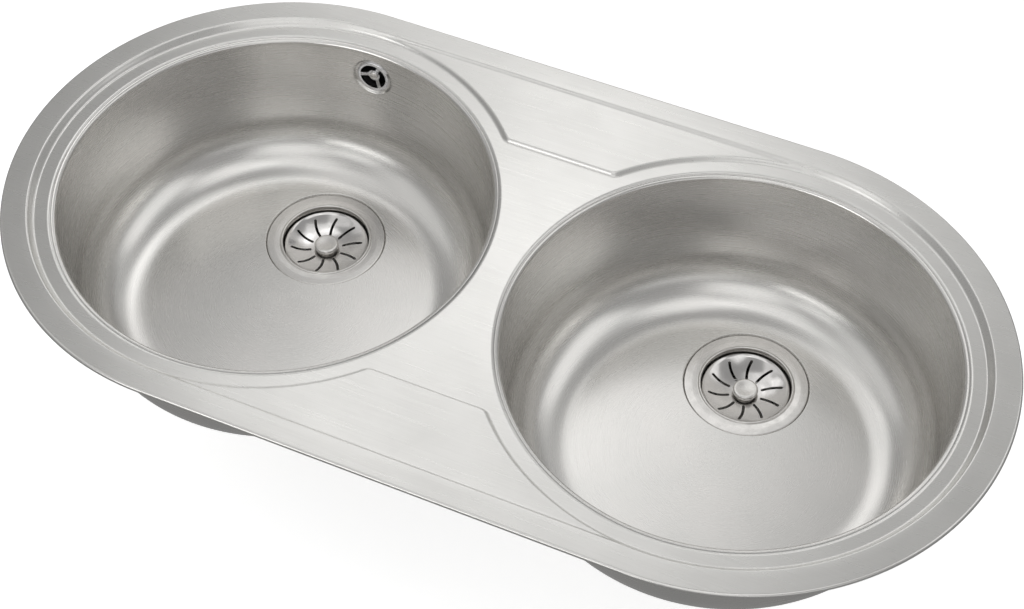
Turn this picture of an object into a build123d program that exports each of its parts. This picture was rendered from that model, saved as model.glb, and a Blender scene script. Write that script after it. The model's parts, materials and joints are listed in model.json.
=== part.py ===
from build123d import *
import os
from math import atan, cos, degrees, hypot, radians, sin, tan

# A double round-bowl inset kitchen sink in stainless steel: a pressed deck, two drawn bowls welded under it,
# two basket strainer wastes, an overflow in the left bowl, and the clips that pull the rim onto the worktop.
# The origin is the middle of the worktop cut-out, in the plane of the worktop's top face.
# +X runs along the sink to the right bowl, +Y to the back, +Z up.  Millimetres.

# ---- bowls ----
bowl_radius = 176.8  # at the mouth
bowl_gap = 38.4  # between the two mouths
lip_radius = 4.0
bowl_depth = 137.0  # from the rim to the bowl's floor
wall_taper = 4.0  # degrees
floor_radius = 50.0  # rounding between the wall and the floor

# ---- deck ----
ring_width = 17.7  # flat ring round each mouth
rim_margin = 25.5  # from the ring's foot to the deck's outline
sheet = 0.8  # thickness of the pressed stainless sheet
rim_top = 3.0  # height of the rim above the worktop
rim_band = 21.5  # flat width of the rim
rim_round = 2.4  # outer rounding of the rim's edge
edge_gap = 0.3  # the folded edge stops this far above the worktop
press_slope = 0.62  # run of a pressed step for each unit of its height
well_depth = 6.0  # the rings and the bridge lie this far under the rim
wing_depth = 2.6  # the front and back panels lie this far under the rim
bridge_half_width = 127.5  # where the bridge between the rings meets the panels
form_depth = 30.0  # depth of the block that the pressed shape is cut from

# ---- wastes ----
drain_inset = 106.8  # from the mouth's back to the waste's middle
recess_radius = 53.4  # at the level of the bowl's floor
recess_depth = 3.0
recess_slope = 0.35  # run of the recess's wall for each unit of its depth
waste_hole = 45.0
flange_radius = 51.8
flange_sheet = 0.8
flange_slope = 0.4  # fall of the flange towards its bead
bead_radius = 1.1
cup_radius = 37.8  # inside
cup_depth = 42.0  # from the flange to the cup's floor
cup_fillet = 4.0
cup_hole_count = 6
cup_hole_radius = 5.0
cup_hole_ring = 17.5
gasket_thickness = 1.0
gasket_inner = waste_hole + 0.3
body_gasket_thickness = 2.0
body_gasket_outer = flange_radius
body_wall = 3.0
body_cup_gap = 3.4  # between the strainer's cup and the body
body_flange = 4.0
body_below_cup = 30.0  # straight part of the body under the cup's floor
body_cone = 16.0
outlet_radius = 23.9  # G 1 1/2 male thread
outlet_bore = 20.1  # takes a 40 mm pipe
outlet_length = 24.0
hub_radius = 7.0
hub_length = 16.0
spoke_count = 3
spoke_thickness = 3.0
body_screw_radius = 3.0
body_screw_length = 18.0
body_screw_head = 6.0
body_screw_head_height = 2.6
driver_slot = 1.0  # width of the slots for a screwdriver
thread_gap = 0.06  # radial, between a screw and the bore that it turns in
hole_gap = 0.3  # radial, where a screw only passes through

# ---- basket strainers ----
basket_gap = 1.0  # radial, inside the cup
basket_drop = 5.0  # the basket's edge lies this far under the flange
basket_dish = 6.6  # from the basket's edge to the foot of its knob
basket_sheet = 0.8
basket_skirt = 5.0
basket_bend = 1.2  # outer rounding between the dish and the skirt
slot_count = 10
slot_width = 2.4
slot_outer = 31.5
slot_inner = 13.5
slot_start = 27.0  # degrees
slot_lean = 5.0  # degrees from a slot's outer end to its inner end
knob_radius = 10.5
knob_rise = 6.2
knob_cap = 3.4  # height of the knob's wide top
knob_round = 1.6
knob_neck = 7.6
knob_shank = 3.0
knob_shank_length = 12.0
stem_outer = 9.5
stem_neck = 4.0  # height of the stem's narrow top
stem_bore = 7.6
stem_socket = 6.0  # the bore runs this far above the seal's carrier
carrier_radius = 27.0
carrier_thickness = 2.0
seal_radius = 29.0
seal_thickness = 2.6
seal_lip = 0.6
seal_lip_width = 3.0
basket_lift = 0.3  # clearance under the seal

# ---- overflow ----
overflow_depth = 34.0  # of its centre under the rim
overflow_hole = 13.0
dimple_radius = 17.5
dimple_depth = 1.6
cover_radius = 15.2
cover_thickness = 1.2
cover_dish = 2.6
cover_eye = 5.2  # radius of the solid middle of the cover
cover_ring = 3.6  # width of the cover's outer ring
cover_edge = 0.6  # bevel round the cover
cover_web = 3.4
cover_web_count = 3
cover_web_start = 62.0  # degrees
overflow_screw_radius = 2.0
overflow_screw_head = 3.7
overflow_screw_crown = 1.6
overflow_screw_length = 16.0
overflow_gasket_thickness = 2.0
elbow_flange = 19.5
elbow_flange_thickness = 3.0
elbow_radius = 15.5
elbow_wall = 2.2
elbow_length = 22.0
elbow_hub = 4.5
spigot_radius = 10.5
spigot_bore = 8.0
spigot_length = 14.0
pipe_wall = 1.6
pipe_bend = 32.0
nut_radius = 13.8
nut_height = 14.0
nut_sides = 8
inlet_drop = 15.0  # the overflow inlet enters the body this far under the cup's floor
inlet_length = 18.0

# ---- rim seal ----
seal_inset = 3.0
seal_width = 8.0

# ---- fixing clips ----
clip_clear = 0.2  # from the bowl's seam to the bracket
clip_spread = 98.0  # the clips of the long sides stand this far from the middle
web_drop = 12.0  # underside of each bracket's web, under the worktop plane
bracket_sheet = 1.5
bracket_width = 10.0
bracket_web = 22.0
bracket_foot = 9.0
clip_screw_radius = 2.5
clip_screw_bottom = 40.0
clip_head_radius = 4.6
clip_head_height = 2.2
clip_hex = 4.0
clip_hex_height = 4.0
clip_nut_side = 9.0
clip_nut_height = 3.0
clip_collar_radius = 4.4
clip_collar_height = 2.6
running_gap = 0.06  # radial, of a turning fit
play = 0.1  # along the screw, between the faces of a turning fit
clip_rest_gap = 0.3  # between the nut and the screw's drive at rest
claw_width = 12.0
claw_sheet = 2.0
claw_reach = 33.0
claw_fall = 6.0  # the claw's tip grips this far under its hub
claw_bend = 14.0  # from the screw to where the claw turns down
claw_tip = 6.0  # length of the claw's flat tip
claw_tooth = 2.2
claw_tooth_count = 3

# ---- places and levels worked out from the sizes above ----
bowl_centre = bowl_radius + bowl_gap / 2  # each bowl is concentric with the deck's round end
ring_radius = bowl_radius + ring_width
sink_width = 2 * (ring_radius + rim_margin)
sink_length = 2 * bowl_centre + sink_width
drain_back = bowl_radius - drain_inset  # the waste stands this far behind the bowl's centre
ring_level = rim_top - well_depth
wing_level = rim_top - wing_depth
seam_radius = bowl_radius + lip_radius
body_inner = cup_radius + flange_sheet + body_cup_gap
floor_level = rim_top - bowl_depth
seat_level = floor_level - recess_depth
flange_level = seat_level + gasket_thickness + flange_sheet
cup_floor = flange_level - cup_depth
body_top = seat_level - sheet - body_gasket_thickness
body_low = cup_floor - body_below_cup
outlet_top = body_low - body_cone
outlet_end = outlet_top - outlet_length
inlet_level = cup_floor - inlet_drop
bowl_sides = {"left": -1, "right": 1}


def ring(outer, inner, low, high):
    """Flat-ended ring round the Z axis."""
    height = high - low
    return Pos(0, 0, low) * extrude(Circle(outer) - Circle(inner), height)


def disc(radius, low, high):
    """Plain cylinder round the Z axis."""
    return Pos(0, 0, low) * extrude(Circle(radius), high - low)


def turned(outline):
    """Solid of revolution from a closed line in the XZ plane."""
    return revolve(make_face(outline), Axis.Z)


def save(name, shape):
    """One STEP file for a node, with its solids side by side."""
    solids = shape.solids() if hasattr(shape, "solids") else [s for part in shape for s in part.solids()]
    whole = solids[0] if len(solids) == 1 else Compound(children=list(solids))
    whole.label = name
    export_step(whole, f"parts/{name}.step")


# ---------------------------------------------------------------- deck

def stadium(inset):
    return SlotOverall(sink_length - 2 * inset, sink_width - 2 * inset)


def deck_form(offset):
    """Everything under the deck's top skin, with that skin moved into the metal by offset."""
    base = rim_top - form_depth
    shift = offset * (hypot(1, press_slope) - press_slope)
    draft = degrees(atan(press_slope))
    block = Pos(0, 0, base) * extrude(stadium(offset), rim_top - offset - base)
    block = fillet(block.faces().sort_by(Axis.Z)[-1].edges(), rim_round - offset)
    wing_floor = wing_level - offset
    wing_inset = rim_band + press_slope * wing_depth - shift
    block -= Pos(0, 0, wing_floor) * extrude(stadium(wing_inset), rim_top + 1 - wing_floor, taper=-draft)
    ring_floor = ring_level - offset
    rise = rim_top + 1 - ring_floor
    foot = ring_radius + shift
    for side in bowl_sides.values():
        well = Cone(foot, foot + press_slope * rise, rise, align=(Align.CENTER, Align.CENTER, Align.MIN))
        block -= Pos(side * bowl_centre, 0, ring_floor) * well
    bridge = Rectangle(bowl_centre, 2 * (bridge_half_width + shift))
    block -= Pos(0, 0, ring_floor) * extrude(bridge, wing_level + 1 - ring_floor, taper=-draft)
    return block


def deck_sheet():
    skin = deck_form(0) - deck_form(sheet)
    base = rim_top - form_depth
    trim = stadium(-1) - stadium(rim_round + sheet)
    skin -= Pos(0, 0, base) * extrude(trim, edge_gap - base)
    for side in bowl_sides.values():
        mouth = Cylinder(seam_radius, form_depth)
        skin -= Pos(side * bowl_centre, 0, ring_level) * mouth
    return skin


def rim_seal():
    strip = stadium(seal_inset) - stadium(seal_inset + seal_width)
    return extrude(strip, rim_top - sheet)


# ---------------------------------------------------------------- bowls

def bowl_space(offset):
    """The bowl's inner space, with its wall moved outwards by offset."""
    taper = radians(wall_taper)
    lip = lip_radius - offset
    lip_centre = (seam_radius, ring_level - lip_radius)
    lip_mid = 135 - wall_taper / 2
    top = (seam_radius, lip_centre[1] + lip)
    on_lip = (lip_centre[0] + lip * cos(radians(lip_mid)), lip_centre[1] + lip * sin(radians(lip_mid)))
    lip_end = (lip_centre[0] - lip * cos(taper), lip_centre[1] + lip * sin(taper))
    corner = floor_radius + offset
    corner_z = floor_level + floor_radius
    wall_end_z = corner_z - corner * sin(taper)
    wall_end_x = lip_end[0] - (lip_end[1] - wall_end_z) * tan(taper)
    corner_x = wall_end_x - corner * cos(taper)
    mid = radians(-(90 + wall_taper) / 2)
    on_corner = (corner_x + corner * cos(mid), corner_z + corner * sin(mid))
    floor_z = floor_level - offset
    above = ring_level + sheet
    path = [
        Line((0, floor_z), (corner_x, floor_z)),
        ThreePointArc((corner_x, floor_z), on_corner, (wall_end_x, wall_end_z)),
        Line((wall_end_x, wall_end_z), lip_end),
        ThreePointArc(lip_end, on_lip, top),
        Line(top, (seam_radius, above)),
        Line((seam_radius, above), (0, above)),
        Line((0, above), (0, floor_z)),
    ]
    space = turned([Plane.XZ * edge for edge in path])
    drop = recess_depth + recess_depth
    seat = recess_radius - recess_slope * recess_depth + offset * (hypot(1, recess_slope) - recess_slope)
    recess = Cone(seat, seat + recess_slope * drop, drop, align=(Align.CENTER, Align.CENTER, Align.MIN))
    return space + Pos(0, drain_back, seat_level - offset) * recess


def overflow_place():
    """Frame of the overflow on the back wall: its Z axis points into the bowl, square to the wall."""
    taper = radians(wall_taper)
    height = rim_top - overflow_depth
    lip_end_x = seam_radius - lip_radius * cos(taper)
    lip_end_z = ring_level - lip_radius + lip_radius * sin(taper)
    radius = lip_end_x - (lip_end_z - height) * tan(taper)
    return Plane(origin=(0, radius, height), x_dir=(1, 0, 0), z_dir=(0, -cos(taper), sin(taper)))


def bowl(with_overflow):
    inner = bowl_space(0)
    outer = bowl_space(sheet)
    if with_overflow:
        place = overflow_place().location
        inner += place * disc(dimple_radius, -dimple_depth, dimple_radius)
        outer += place * disc(dimple_radius + sheet, -dimple_depth - sheet, dimple_radius)
    shell = outer - inner
    shell -= Pos(0, drain_back, seat_level) * Cylinder(waste_hole, 4 * recess_depth)
    if with_overflow:
        shell -= place * disc(overflow_hole, -4 * dimple_depth, dimple_radius)
    shell -= disc(2 * bowl_radius, ring_level, ring_level + dimple_radius)
    return shell


# ---------------------------------------------------------------- wastes, on the Z axis through the drain

def strainer_flange():
    bead_x = cup_radius + bead_radius
    bead_z = flange_level - flange_slope
    bottom = cup_floor - flange_sheet
    outer_wall = cup_radius + flange_sheet
    fillet_x = cup_radius - cup_fillet
    hole = body_screw_radius + hole_gap
    path = [
        Line((hole, cup_floor), (fillet_x, cup_floor)),
        RadiusArc((fillet_x, cup_floor), (cup_radius, cup_floor + cup_fillet), -cup_fillet),
        Line((cup_radius, cup_floor + cup_fillet), (cup_radius, bead_z)),
        ThreePointArc((cup_radius, bead_z), (bead_x, bead_z + bead_radius), (bead_x + bead_radius, bead_z)),
        Line((bead_x + bead_radius, bead_z), (gasket_inner, flange_level)),
        Line((gasket_inner, flange_level), (flange_radius, flange_level)),
        Line((flange_radius, flange_level), (flange_radius, flange_level - flange_sheet)),
        Line((flange_radius, flange_level - flange_sheet), (gasket_inner, flange_level - flange_sheet)),
        Line((gasket_inner, flange_level - flange_sheet), (outer_wall, bead_z - flange_sheet)),
        Line((outer_wall, bead_z - flange_sheet), (outer_wall, cup_floor + cup_fillet)),
        RadiusArc((outer_wall, cup_floor + cup_fillet), (fillet_x, bottom), cup_fillet + flange_sheet),
        Line((fillet_x, bottom), (hole, bottom)),
        Line((hole, bottom), (hole, cup_floor)),
    ]
    cup = turned([Plane.XZ * edge for edge in path])
    for drain in PolarLocations(cup_hole_ring, cup_hole_count):
        cup -= drain * disc(cup_hole_radius, bottom - 1, cup_floor + 1)
    return cup


def flange_gasket():
    return ring(flange_radius - 0.5, gasket_inner, seat_level, seat_level + gasket_thickness)


def body_gasket():
    top = seat_level - sheet
    return ring(body_gasket_outer, gasket_inner, top - body_gasket_thickness, top)


def body_screw():
    head = disc(body_screw_head, cup_floor, cup_floor + body_screw_head_height)
    shank = disc(body_screw_radius, cup_floor - body_screw_length, cup_floor)
    drive = Pos(0, 0, cup_floor + body_screw_head_height) * Box(
        2 * body_screw_head, driver_slot, body_screw_head_height
    )
    return head + shank - drive


def waste_body(with_inlet):
    outer = body_inner + body_wall
    path = Polyline(
        (body_inner, body_top),
        (body_gasket_outer + 2, body_top),
        (body_gasket_outer + 2, body_top - body_flange),
        (outer, body_top - 2 * body_flange),
        (outer, body_low),
        (outlet_radius, outlet_top),
        (outlet_radius, outlet_end),
        (outlet_bore, outlet_end),
        (outlet_bore, outlet_top),
        (body_inner, body_low + body_wall),
        (body_inner, body_top),
    )
    body = turned(Plane.XZ * path)
    hub_top = cup_floor - flange_sheet
    hub_middle = hub_top - hub_length / 2
    spoke = Pos(body_inner / 2, 0, hub_middle) * Box(body_inner + body_wall, spoke_thickness, hub_length)
    body += disc(hub_radius, hub_top - hub_length, hub_top)
    for step in range(spoke_count):
        body += Rot(0, 0, step * 360 / spoke_count) * spoke
    body -= disc(body_screw_radius + thread_gap, hub_top - body_screw_length - 1, hub_top + 1)
    if with_inlet:
        place = Plane(origin=(0, 0, inlet_level), x_dir=(1, 0, 0), z_dir=(0, 1, 0)).location
        body += place * disc(spigot_radius, body_inner + 1, outer + inlet_length)
        body -= place * disc(spigot_bore, body_inner - 2, outer + inlet_length + 1)
    return body


def basket_height(radius):
    """Height of the basket's upper face: a shallow bowl, lowest at the foot of the knob."""
    edge = cup_radius - basket_gap
    fall = (edge - radius) / (edge - knob_neck)
    return flange_level - basket_drop - basket_dish * (1 - (1 - fall) ** 2)


def basket_sieve():
    edge = cup_radius - basket_gap
    mid = (edge + knob_neck) / 2
    low_foot = basket_height(knob_neck)
    hole = knob_shank + hole_gap
    rim = (edge - basket_bend, basket_height(edge))
    under = (rim[0], rim[1] - basket_sheet)
    wall = edge - basket_sheet
    skirt_end = rim[1] - basket_skirt
    path = [
        Line((hole, low_foot), (knob_neck, low_foot)),
        ThreePointArc((knob_neck, low_foot), (mid, basket_height(mid)), rim),
        RadiusArc(rim, (edge, rim[1] - basket_bend), basket_bend),
        Line((edge, rim[1] - basket_bend), (edge, skirt_end)),
        Line((edge, skirt_end), (wall, skirt_end)),
        Line((wall, skirt_end), (wall, rim[1] - basket_bend)),
        RadiusArc((wall, rim[1] - basket_bend), under, basket_sheet - basket_bend),
        ThreePointArc(under, (mid, basket_height(mid) - basket_sheet), (knob_neck, low_foot - basket_sheet)),
        Line((knob_neck, low_foot - basket_sheet), (hole, low_foot - basket_sheet)),
        Line((hole, low_foot - basket_sheet), (hole, low_foot)),
    ]
    sieve = turned([Plane.XZ * line for line in path])
    outer = Vector(slot_outer, 0, 0)
    inner = Vector(slot_inner, 0, 0).rotate(Axis.Z, slot_lean)
    middle = Vector((slot_outer + slot_inner) / 2, 0, 0).rotate(Axis.Z, slot_lean)
    cut = SlotArc(ThreePointArc(outer, middle, inner), slot_width)
    cutter = Pos(0, 0, low_foot - 2 * basket_sheet) * extrude(cut, basket_dish + 2 * basket_sheet)
    for step in range(slot_count):
        sieve -= Rot(0, 0, slot_start + step * 360 / slot_count) * cutter
    return sieve


def basket_knob():
    foot = basket_height(knob_neck)
    top = foot + knob_rise
    cap = disc(knob_radius, top - knob_cap, top)
    cap = fillet(cap.edges().sort_by(Axis.Z)[-1], knob_round)
    neck = disc(knob_neck, foot, top - knob_cap)
    return cap + neck + disc(knob_shank, foot - knob_shank_length, foot)


def basket_stem():
    top = basket_height(knob_neck) - basket_sheet
    carrier_low = cup_floor + basket_lift + seal_thickness
    stem = disc(stem_outer, cup_floor + basket_lift, top - stem_neck) + disc(knob_neck, top - stem_neck, top)
    stem += disc(carrier_radius, carrier_low, carrier_low + carrier_thickness)
    stem -= disc(stem_bore, cup_floor, carrier_low + stem_socket)
    return stem - disc(knob_shank + thread_gap, top - knob_shank_length, top + 1)


def basket_seal():
    low = cup_floor + basket_lift
    washer = ring(seal_radius, stem_outer + thread_gap, low + seal_lip, low + seal_thickness)
    return washer + ring(seal_radius, seal_radius - seal_lip_width, low, low + seal_lip)


# ---------------------------------------------------------------- overflow, on its own Z axis

def cover_floor():
    return cover_thickness - dimple_depth - cover_dish


def overflow_cover():
    back = -dimple_depth
    face = back + cover_thickness
    hole = overflow_screw_radius + hole_gap
    inner = cover_radius - cover_ring
    lean = (inner - cover_eye) / cover_dish
    foot = cover_thickness * (hypot(1, lean) - lean)
    path = Polyline(
        (hole, cover_floor()),
        (cover_eye, cover_floor()),
        (inner, face),
        (cover_radius - cover_edge, face),
        (cover_radius, face - cover_edge),
        (cover_radius, back),
        (inner + foot, back),
        (cover_eye + foot, cover_floor() - cover_thickness),
        (hole, cover_floor() - cover_thickness),
        (hole, cover_floor()),
    )
    cover = turned(Plane.XZ * path)
    opening = Circle(inner + cover_edge) - Circle(cover_eye)
    for step in range(cover_web_count):
        turn = Rot(0, 0, cover_web_start + step * 360 / cover_web_count)
        opening -= turn * (Pos(inner, 0, 0) * Rectangle(2 * inner, cover_web))
    through = cover_dish + 2 * cover_thickness
    return cover - Pos(0, 0, cover_floor() - cover_thickness) * extrude(opening, through)


def overflow_screw():
    seat = cover_floor()
    head = disc(overflow_screw_head, seat, seat + overflow_screw_crown)
    head = fillet(head.edges().sort_by(Axis.Z)[-1], overflow_screw_crown / 2)
    shank = disc(overflow_screw_radius, seat - overflow_screw_length, seat)
    drive = Box(2 * overflow_screw_head, driver_slot, overflow_screw_crown)
    return head + shank - Pos(0, 0, seat + overflow_screw_crown) * drive


def overflow_gasket():
    top = -dimple_depth - sheet
    return ring(elbow_flange, overflow_hole + hole_gap, top - overflow_gasket_thickness, top)


def elbow_face():
    return -dimple_depth - sheet - overflow_gasket_thickness


def overflow_elbow():
    face = elbow_face()
    back = face - elbow_length
    bore = elbow_radius - elbow_wall
    shell = disc(elbow_flange, face - elbow_flange_thickness, face) + disc(elbow_radius, back, face)
    drop = Plane(origin=(0, 0, (face + back) / 2), x_dir=(1, 0, 0), z_dir=(0, -1, 0)).location
    shell += drop * disc(spigot_radius, elbow_radius - elbow_wall, elbow_radius + spigot_length)
    shell -= disc(bore, back + elbow_wall, face + 1)
    shell -= drop * disc(spigot_bore, 0, elbow_radius + spigot_length + 1)
    hub = disc(elbow_hub, back + elbow_wall / 2, face - elbow_wall)
    shell += hub - drop * disc(spigot_bore, elbow_hub, elbow_radius)
    shell -= disc(overflow_screw_radius + thread_gap, cover_floor() - overflow_screw_length, face + 1)
    return shell


def waste_point(side):
    return Pos(side * bowl_centre, drain_back, 0)


def pipe_run():
    """Centre line of the overflow pipe: down behind the bowl, then forward into the waste body."""
    place = Pos(bowl_sides["left"] * bowl_centre, 0, 0) * overflow_place().location
    middle = elbow_face() - elbow_length / 2
    start = (place * Pos(0, -elbow_radius - spigot_length, middle)).position
    down = ((place * Pos(0, -1, 0)).position - (place * Pos(0, 0, 0)).position).normalized()
    reach = (start.Z - inlet_level) / -down.Z
    corner = start + down * reach
    finish = Vector(start.X, drain_back + body_inner + body_wall + inlet_length, inlet_level)
    return FilletPolyline(start, corner, finish, radius=pipe_bend)


def overflow_pipe():
    line = pipe_run()
    wall = Circle(spigot_radius) - Circle(spigot_radius - pipe_wall)
    return sweep(Plane(origin=line @ 0, z_dir=line % 0) * wall, line)


def union_nut(position):
    """Octagonal nut over the joint where the pipe meets a spigot."""
    line = pipe_run()
    grip = Plane(origin=line @ position, z_dir=line % position).location
    nut = extrude(RegularPolygon(nut_radius, nut_sides), nut_height / 2, both=True)
    nut -= extrude(Circle(spigot_radius + running_gap), nut_height, both=True)
    return grip * nut


# ---------------------------------------------------------------- clips, on the Z axis of each screw

def clip_places():
    """Place of each clip, with its X axis pointing to the nearest edge of the sink."""
    side = seam_radius + clip_clear + bracket_width / 2
    end = bowl_centre + side
    return [
        (Pos(-clip_spread, -side, 0) * Rot(0, 0, -90), wing_level),
        (Pos(clip_spread, -side, 0) * Rot(0, 0, -90), wing_level),
        (Pos(end, 0, 0), ring_level),
        (Pos(clip_spread, side, 0) * Rot(0, 0, 90), wing_level),
        (Pos(-clip_spread, side, 0) * Rot(0, 0, 90), wing_level),
        (Pos(-end, 0, 0) * Rot(0, 0, 180), ring_level),
    ]


def clip_bracket(deck_level):
    """Hat-shaped bracket welded under the deck: two feet and a web with a hole for the screw."""
    top = deck_level - sheet
    half = bracket_web / 2
    outline = Polyline(
        (-half - bracket_foot, top),
        (-half, top),
        (-half, -web_drop + bracket_sheet),
        (half, -web_drop + bracket_sheet),
        (half, top),
        (half + bracket_foot, top),
        (half + bracket_foot, top - bracket_sheet),
        (half + bracket_sheet, top - bracket_sheet),
        (half + bracket_sheet, -web_drop),
        (-half - bracket_sheet, -web_drop),
        (-half - bracket_sheet, top - bracket_sheet),
        (-half - bracket_foot, top - bracket_sheet),
        (-half - bracket_foot, top),
    )
    body = extrude(make_face(Plane.YZ * outline), bracket_width / 2, both=True)
    return body - disc(clip_screw_radius + running_gap, -web_drop - 1, -web_drop + bracket_sheet + 1)


def clip_screw():
    head_low = -web_drop + bracket_sheet + play
    hex_top = -clip_screw_bottom + clip_hex_height
    shank = disc(clip_screw_radius, hex_top, head_low)
    head = disc(clip_head_radius, head_low, head_low + clip_head_height)
    drive = Pos(0, 0, -clip_screw_bottom) * extrude(RegularPolygon(clip_hex, 6), clip_hex_height)
    slot = Pos(0, 0, -clip_screw_bottom) * Box(2 * clip_hex, driver_slot, clip_hex_height)
    return shank + head + drive - slot


def nut_low():
    return -clip_screw_bottom + clip_hex_height + clip_rest_gap


def clip_nut():
    low = nut_low()
    plate = extrude(Pos(0, 0, low) * RectangleRounded(clip_nut_side, clip_nut_side, 1), clip_nut_height)
    collar = disc(clip_collar_radius, low + clip_nut_height, low + clip_nut_height + clip_collar_height)
    bore = disc(clip_screw_radius + running_gap, low, low + clip_nut_height + clip_collar_height)
    return plate + collar - bore


def clip_claw():
    """Bent arm that turns on the nut's collar; at rest it lies along the rim, clear of the worktop."""
    low = nut_low() + clip_nut_height + play
    high = low + claw_sheet
    tip_low = low - claw_fall
    tip_high = high - claw_fall
    slant = (claw_reach - claw_tip - claw_bend) / claw_fall
    shift = claw_sheet * (hypot(1, slant) - slant)
    outline = Polyline(
        (0, low),
        (claw_bend, low),
        (claw_reach - claw_tip, tip_low),
        (claw_reach, tip_low),
        (claw_reach, tip_high),
        (claw_reach - claw_tip + shift, tip_high),
        (claw_bend + shift, high),
        (0, high),
        (0, low),
    )
    arm = extrude(make_face(Plane.XZ * outline), claw_width / 2, both=True)
    arm += disc(claw_width / 2, low, high)
    tooth = Polyline(
        (claw_reach - claw_sheet, tip_high),
        (claw_reach - claw_sheet, tip_high + claw_tooth),
        (claw_reach, tip_high),
        (claw_reach - claw_sheet, tip_high),
    )
    pitch = claw_width / claw_tooth_count
    for step in range(claw_tooth_count):
        place = Pos(0, (step - (claw_tooth_count - 1) / 2) * pitch, 0)
        arm += place * extrude(make_face(Plane.XZ * tooth), pitch / 3, both=True)
    arm -= disc(clip_collar_radius + running_gap, low - 1, high + 1)
    return Rot(0, 0, 90) * arm


# ---------------------------------------------------------------- the whole sink

os.makedirs("parts", exist_ok=True)
save("deck_sheet", deck_sheet())
save("rim_seal", rim_seal())
for name, side in bowl_sides.items():
    has_overflow = name == "left"
    at_drain = waste_point(side)
    save(f"{name}_bowl", Pos(side * bowl_centre, 0, 0) * bowl(has_overflow))
    save(f"{name}_strainer_flange", at_drain * strainer_flange())
    save(f"{name}_flange_gasket", at_drain * flange_gasket())
    save(f"{name}_body_gasket", at_drain * body_gasket())
    save(f"{name}_body_screw", at_drain * body_screw())
    save(f"{name}_waste_body", at_drain * waste_body(has_overflow))
    save(f"{name}_basket_sieve", at_drain * basket_sieve())
    save(f"{name}_basket_knob", at_drain * basket_knob())
    save(f"{name}_basket_stem", at_drain * basket_stem())
    save(f"{name}_basket_seal", at_drain * basket_seal())

at_overflow = Pos(bowl_sides["left"] * bowl_centre, 0, 0) * overflow_place().location
save("overflow_cover", at_overflow * overflow_cover())
save("overflow_screw", at_overflow * overflow_screw())
save("overflow_gasket", at_overflow * overflow_gasket())
save("overflow_elbow", at_overflow * overflow_elbow())
save("overflow_pipe", overflow_pipe())
save("overflow_elbow_nut", union_nut(0))
save("overflow_inlet_nut", union_nut(1))

save("clip_brackets", [place * clip_bracket(level) for place, level in clip_places()])
for index, (place, level) in enumerate(clip_places(), start=1):
    save(f"clip_{index}_screw", place * clip_screw())
    save(f"clip_{index}_nut", place * clip_nut())
    save(f"clip_{index}_claw", place * clip_claw())
print("overflow pipe length", round(pipe_run().length, 1))
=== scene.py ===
import json
from math import asin, atan2, cos, hypot, pi, radians, sin, sqrt, tan

import bmesh
import bpy
from mathutils import Matrix, Vector


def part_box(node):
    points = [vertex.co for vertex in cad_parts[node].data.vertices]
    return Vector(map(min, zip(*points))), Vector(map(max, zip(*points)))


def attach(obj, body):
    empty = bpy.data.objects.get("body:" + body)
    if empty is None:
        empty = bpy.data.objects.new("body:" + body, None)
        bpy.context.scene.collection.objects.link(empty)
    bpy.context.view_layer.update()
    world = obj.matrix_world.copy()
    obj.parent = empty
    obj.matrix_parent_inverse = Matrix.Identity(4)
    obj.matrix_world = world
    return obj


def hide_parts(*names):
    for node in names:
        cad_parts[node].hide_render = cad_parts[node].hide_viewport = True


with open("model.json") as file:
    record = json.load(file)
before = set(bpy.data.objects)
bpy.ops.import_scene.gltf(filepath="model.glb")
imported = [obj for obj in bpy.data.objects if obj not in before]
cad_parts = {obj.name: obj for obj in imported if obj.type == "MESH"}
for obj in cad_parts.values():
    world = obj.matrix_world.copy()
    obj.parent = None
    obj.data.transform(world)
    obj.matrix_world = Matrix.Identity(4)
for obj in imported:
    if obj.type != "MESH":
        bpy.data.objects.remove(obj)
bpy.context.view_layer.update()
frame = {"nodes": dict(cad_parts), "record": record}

print("frame loaded:", len(frame["nodes"]), "solids' nodes")

# Pieces are drawn in millimetres, in the part's own frame, and scaled to metres when they are placed.
around = 240  # straight sides in each of the bowls' circles
upright, origin = Vector((0, 0, 1)), Vector((0, 0, 0))


# Small helpers for places and outlines

def boxMm(node):
    low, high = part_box(node)
    return low * 1000, high * 1000


def smoothMin(a, b, reach):
    overlap = max(reach - abs(a - b), 0) / reach
    return min(a, b) - overlap * overlap * reach / 4


def smoothMax(a, b, reach):
    return -smoothMin(-a, -b, reach)


def rows(start, spacing, count):
    return [start + spacing * k for k in range(count)]


def steps(start, end, count):  # from start to end, the start left out
    return [start + (end - start) * k / count for k in range(1, count + 1)]


def arc(centreX, centreZ, radius, start, end, count):  # points of a rounding, angles in degrees
    turns = [radians(start + (end - start) * k / count) for k in range(count + 1)]
    return [(centreX + radius * cos(turn), centreZ + radius * sin(turn)) for turn in turns]


# Small helpers for meshes

def vertsOf(geom):
    return [v for v in geom if isinstance(v, bmesh.types.BMVert)]


def allOf(bm):
    return bm.verts[:] + bm.edges[:] + bm.faces[:]


def withEdges(faces):  # the faces with their edges and corners
    return faces + list({e for f in faces for e in f.edges}) + list({v for f in faces for v in f.verts})


def weld(bm, reach=0.002):
    bmesh.ops.remove_doubles(bm, verts=bm.verts, dist=reach)


def cutAt(bm, geom, place, direction, clear=False):  # a straight cut, which can clear what lies beyond it
    bmesh.ops.bisect_plane(bm, geom=geom, dist=0.0001, plane_co=place, plane_no=direction, clear_outer=clear)


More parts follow.
